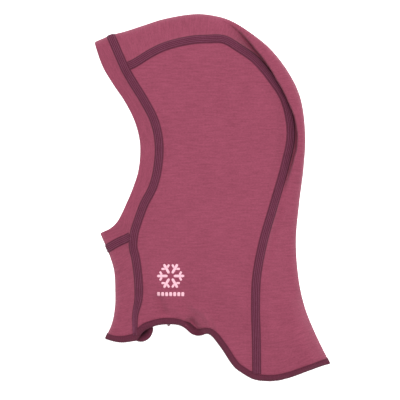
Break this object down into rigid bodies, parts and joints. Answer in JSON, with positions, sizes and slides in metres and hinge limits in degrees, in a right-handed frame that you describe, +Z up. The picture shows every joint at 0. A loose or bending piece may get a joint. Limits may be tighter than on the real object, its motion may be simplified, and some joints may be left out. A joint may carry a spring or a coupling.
{
  "type": "balaclava",
  "caption": "Child's fine-knit balaclava laid flat on its side: side, crown and chin panels, doubled face band, flatlock seams and overlocked hem.",
  "frame": {"origin": "middle of the laid garment's box, on the table it lies on", "axes": "+Z up from the table, +Y from the neck hem to the crown, +X from the face opening to the nape"},
  "size_m": [0.201, 0.312, 0.0225],
  "materials": {
    "rose_knit": "fine plain knit, matt, soft",
    "plum_thread": "fine sewing thread, slightly glossy",
    "label_cloth": "blank satin ribbon",
    "pink_print": "thin matt transfer print on the knit"
  },
  "bodies": {
    "root": {"left_side_panel": "rose_knit", "right_side_panel": "rose_knit", "crown_panel": "rose_knit", "chin_panel": "rose_knit", "face_band": "rose_knit", "left_crown_seam_cover": "plum_thread", "left_crown_seam_needles": "plum_thread", "left_crown_seam_looper": "plum_thread", "right_crown_seam_cover": "plum_thread", "right_crown_seam_needles": "plum_thread", "right_crown_seam_looper": "plum_thread", "front_seam_cover": "plum_thread", "front_seam_needles": "plum_thread", "front_seam_looper": "plum_thread", "chin_seam_cover": "plum_thread", "chin_seam_needles": "plum_thread", "chin_seam_looper": "plum_thread", "hem_overlock": "plum_thread", "hem_needle_thread": "plum_thread", "band_closing_seam": "plum_thread", "care_label": "label_cloth", "side_print": "pink_print"}
  },
  "joints": []
}
